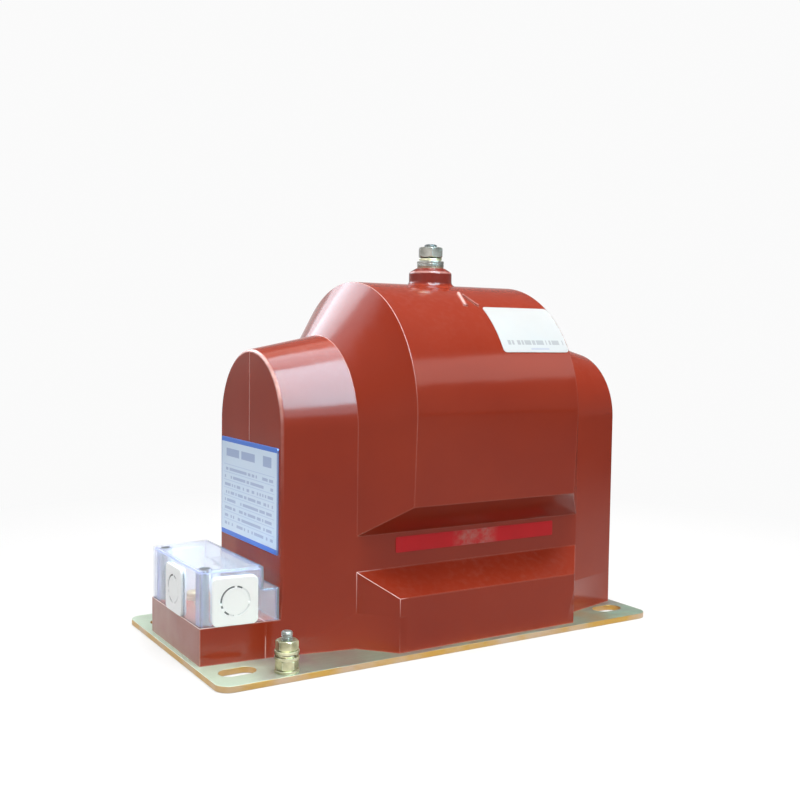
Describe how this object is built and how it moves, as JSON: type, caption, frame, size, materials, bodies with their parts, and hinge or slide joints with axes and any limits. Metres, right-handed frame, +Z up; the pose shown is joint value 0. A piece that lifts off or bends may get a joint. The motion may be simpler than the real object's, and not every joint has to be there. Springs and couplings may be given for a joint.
{
  "type": "voltage transformer",
  "caption": "Cast resin voltage transformer block with an arched coil housing, a top high voltage terminal, a clear-covered terminal box, an earth stud and a slotted base plate.",
  "frame": {"origin": "middle of the underside of the base plate", "axes": "+X along the length away from the terminal box, +Y across the width, +Z up; the terminal box is at -X and the earth stud is on the -Y side"},
  "size_m": [0.29, 0.152, 0.234],
  "materials": {
    "passivated_plate": "yellow passivated zinc plate, iridescent",
    "cast_resin": "red brown cast resin, satin gloss",
    "brass": "turned brass",
    "zinc_steel": "bright zinc plated steel",
    "yellow_zinc": "yellow zinc plated steel",
    "clear_cover": "clear moulded plastic, glossy",
    "white_plastic": "white moulded plastic, satin",
    "plate_face": "printed aluminium plate with plain fields",
    "white_label": "plain white film",
    "red_strip": "plain red film",
    "core_steel": "wound silicon steel strip",
    "band_steel": "steel band",
    "former_board": "varnished insulating board",
    "copper": "enamelled copper wire"
  },
  "bodies": {
    "root": {"base_plate": "passivated_plate", "resin_body": "cast_resin", "hv_insert": "brass", "hv_stud": "zinc_steel", "hv_washers": "zinc_steel", "hv_spring_washer": "yellow_zinc", "hv_nut": "zinc_steel", "earth_stud": "yellow_zinc", "earth_nuts": "yellow_zinc", "earth_washers": "yellow_zinc", "earth_spring_washer": "yellow_zinc", "terminal_cover": "clear_cover", "cable_entry_plates": "white_plastic", "cover_screws": "zinc_steel", "cover_inserts": "brass", "terminal_inserts": "brass", "terminal_washers": "brass", "terminal_screws": "brass", "rating_plate": "plate_face", "arch_label": "white_label", "recess_strip": "red_strip", "core_upper_half": "core_steel", "core_lower_half": "core_steel", "core_band": "band_steel", "winding_former": "former_board", "secondary_winding": "copper", "insulation_sleeve": "former_board", "primary_winding": "copper", "hv_lead": "copper", "secondary_leads": "copper", "core_earth_strap": "copper", "plate_screws": "zinc_steel", "plate_inserts": "brass"}
  },
  "joints": []
}
